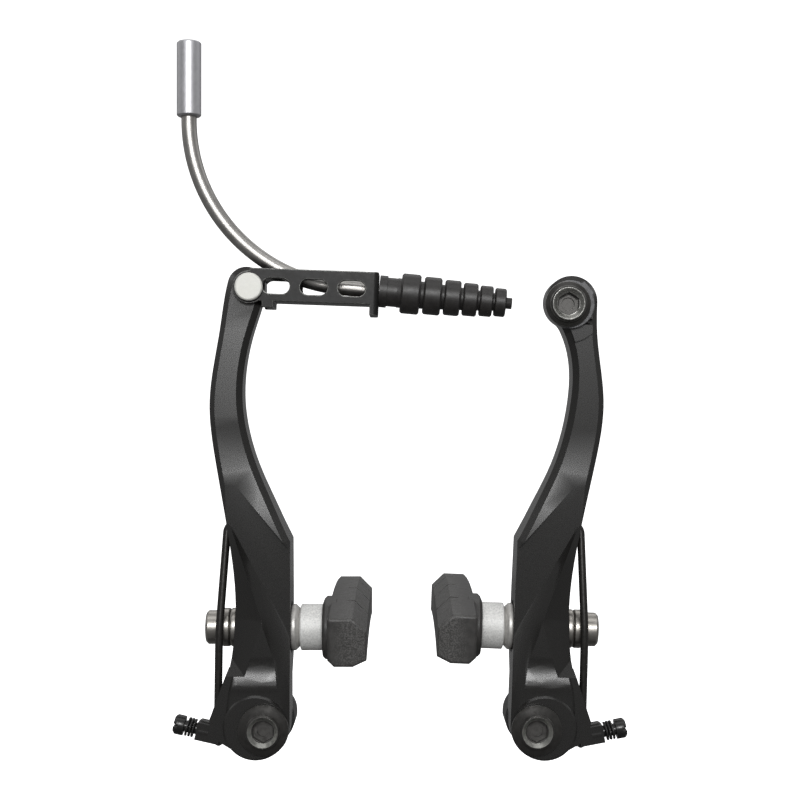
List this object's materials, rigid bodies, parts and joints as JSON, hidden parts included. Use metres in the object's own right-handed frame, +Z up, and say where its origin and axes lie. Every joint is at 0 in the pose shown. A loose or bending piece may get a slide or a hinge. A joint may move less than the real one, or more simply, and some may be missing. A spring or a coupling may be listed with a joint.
{
  "type": "v brake",
  "caption": "Linear-pull bicycle rim brake: sprung black arms on stud bushings, hinged link with curved lead pipe and rubber boot, cable anchor and long rim shoes on threaded posts.",
  "frame": {"origin": "midway between the two pivot bolts, in the plane of the shoe posts", "axes": "+X to the right as seen from the bolt heads, +Y along the bolts into the bicycle's frame, +Z up along the arms"},
  "size_m": [0.1146, 0.0712, 0.1822],
  "materials": {
    "arm_black": "semi-gloss black paint on forged alloy",
    "link_black": "satin black paint on stamped steel",
    "pin_nickel": "satin nickel plate",
    "pipe_steel": "polished stainless steel",
    "ferrule_alloy": "satin anodised",
    "liner_plastic": "natural low-friction plastic",
    "boot_rubber": "matte moulded rubber",
    "bolt_black": "black oxide",
    "bushing_steel": "turned and ground",
    "holder_plastic": "moulded black resin",
    "spring_black": "black coated spring wire",
    "screw_black": "black oxide",
    "zinc_grey": "grainy bright zinc plate",
    "bright_steel": "turned bright zinc plate",
    "shoe_rubber": "matte moulded rubber"
  },
  "bodies": {
    "mounting": {"left_pivot_bushing": "bushing_steel", "left_fixing_bolt": "bolt_black", "left_spring_holder": "holder_plastic", "left_return_spring": "spring_black", "right_pivot_bushing": "bushing_steel", "right_fixing_bolt": "bolt_black", "right_spring_holder": "holder_plastic", "right_return_spring": "spring_black"},
    "left_arm_body": {"left_arm": "arm_black", "left_screw_spring": "screw_black", "left_inner_dome_washer": "zinc_grey", "left_inner_cup_washer": "bright_steel", "left_outer_dome_washer": "bright_steel", "left_outer_cup_washer": "bright_steel", "left_shoe_post": "bright_steel", "left_shoe_nut": "bright_steel", "left_brake_shoe": "shoe_rubber", "link_pin": "pin_nickel"},
    "right_arm_body": {"right_arm": "arm_black", "right_screw_spring": "screw_black", "right_inner_dome_washer": "zinc_grey", "right_inner_cup_washer": "bright_steel", "right_outer_dome_washer": "bright_steel", "right_outer_cup_washer": "bright_steel", "right_shoe_post": "bright_steel", "right_shoe_nut": "bright_steel", "right_brake_shoe": "shoe_rubber", "cable_anchor_bolt": "bolt_black", "cable_clamp_washer": "bright_steel"},
    "link_body": {"link": "link_black", "lead_pipe": "pipe_steel", "pipe_liner": "liner_plastic", "pipe_ferrule": "ferrule_alloy", "boot": "boot_rubber"},
    "left_screw_body": {"left_tension_screw": "screw_black"},
    "right_screw_body": {"right_tension_screw": "screw_black"}
  },
  "joints": [
    {"name": "left_arm_pivot", "type": "hinge", "parent": "mounting", "child": "left_arm_body", "pos_m": [-0.034, 0, 0], "axis": [0, -1, 0], "range_deg": [-1.5, 28], "stiffness_Nm_per_rad": 1, "deforming": ["left_return_spring"]},
    {"name": "right_arm_pivot", "type": "hinge", "parent": "mounting", "child": "right_arm_body", "pos_m": [0.034, 0, 0], "axis": [0, 1, 0], "range_deg": [-1.5, 28], "stiffness_Nm_per_rad": 1, "deforming": ["right_return_spring"]},
    {"name": "link_pivot", "type": "hinge", "parent": "left_arm_body", "child": "link_body", "pos_m": [-0.0382, 0, 0.1108], "axis": [0, -1, 0], "range_deg": [0, 60]},
    {"name": "left_screw_turn", "type": "hinge", "parent": "left_arm_body", "child": "left_screw_body", "pos_m": [-0.0496, -0.0059, -0.001], "axis": [-0.9744, 0, 0.225], "continuous": true},
    {"name": "right_screw_turn", "type": "hinge", "parent": "right_arm_body", "child": "right_screw_body", "pos_m": [0.04955, -0.0059, -0.00164], "axis": [0.9828, 0, 0.1848], "continuous": true}
  ]
}
